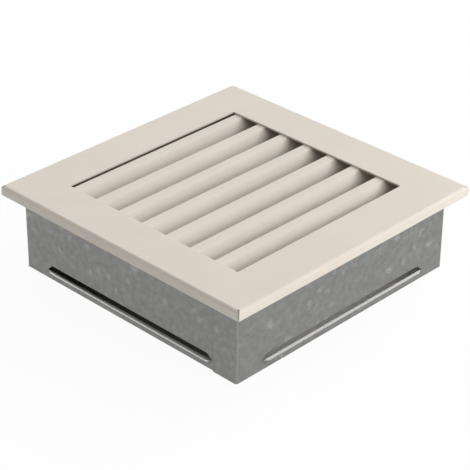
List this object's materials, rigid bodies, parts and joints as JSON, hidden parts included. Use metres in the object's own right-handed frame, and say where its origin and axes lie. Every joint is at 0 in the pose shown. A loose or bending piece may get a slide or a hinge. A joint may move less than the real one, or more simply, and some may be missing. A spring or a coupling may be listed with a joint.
{
  "type": "ventilation grille",
  "caption": "Square ventilation grille with fixed sloping slats in a folded sheet-metal front, held by leaf springs in a galvanised wall mounting frame.",
  "frame": {"origin": "centre of the square back rim of the mounting frame, in the plane that the rim stands on", "axes": "+Z out of the front face, towards the room; +X along the slats; +Y towards the upper edge of the grille on a wall, so the blades slope down and back from +Y to -Y"},
  "size_m": [0.17, 0.17, 0.048],
  "materials": {
    "zinc": "galvanised, matt, with faint spangle",
    "enamel": "smooth powder coat, satin",
    "spring_steel": "rolled spring steel, satin",
    "rivet_steel": "zinc-plated, satin"
  },
  "bodies": {
    "mounting_frame": {"mounting_frame": "zinc"},
    "front_unit": {"front_panel": "enamel", "slat_1": "enamel", "slat_2": "enamel", "slat_3": "enamel", "slat_4": "enamel", "slat_5": "enamel", "slat_6": "enamel", "slat_7": "enamel", "left_cheek": "enamel", "right_cheek": "enamel", "lower_collar": "enamel", "upper_collar": "enamel", "left_spring": "spring_steel", "right_spring": "spring_steel", "lower_spring": "spring_steel", "upper_spring": "spring_steel", "rivets": "rivet_steel"}
  },
  "joints": [
    {"name": "front_pull_out", "type": "slide", "parent": "mounting_frame", "child": "front_unit", "axis": [0, 0, 1], "range_m": [0, 0.03]}
  ]
}
